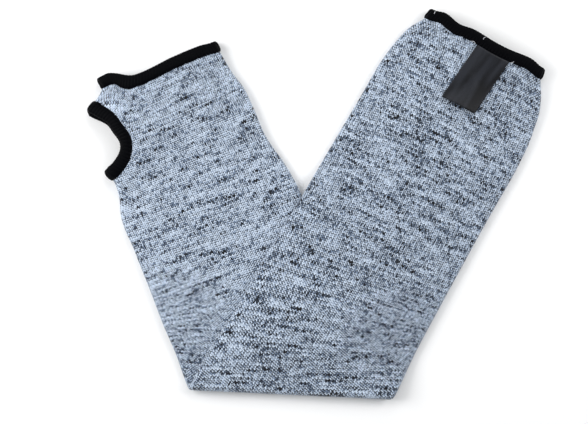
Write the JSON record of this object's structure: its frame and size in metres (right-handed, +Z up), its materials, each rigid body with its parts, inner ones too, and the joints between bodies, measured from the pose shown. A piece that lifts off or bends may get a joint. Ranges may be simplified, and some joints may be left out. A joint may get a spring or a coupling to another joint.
{
  "type": "cut resistant sleeve",
  "caption": "Knitted protective arm sleeve, open at both ends, with an edged thumb slot, folded once on a slant and lying flat.",
  "frame": {"origin": "on the table, under the middle of the part's box", "axes": "+Z up from the table, +X along the fold towards the arm leg, +Y from the fold towards the mouths"},
  "size_m": [0.276, 0.2362, 0.0145],
  "materials": {
    "knit": "fine marl stockinette knit, pale blue-grey flecked with dark slate",
    "edging": "dense black overlock thread",
    "label": "woven black satin"
  },
  "bodies": {
    "root": {"knit_body": "knit", "hand_edging": "edging", "thumb_edging": "edging", "arm_edging": "edging", "label": "label"}
  },
  "joints": []
}
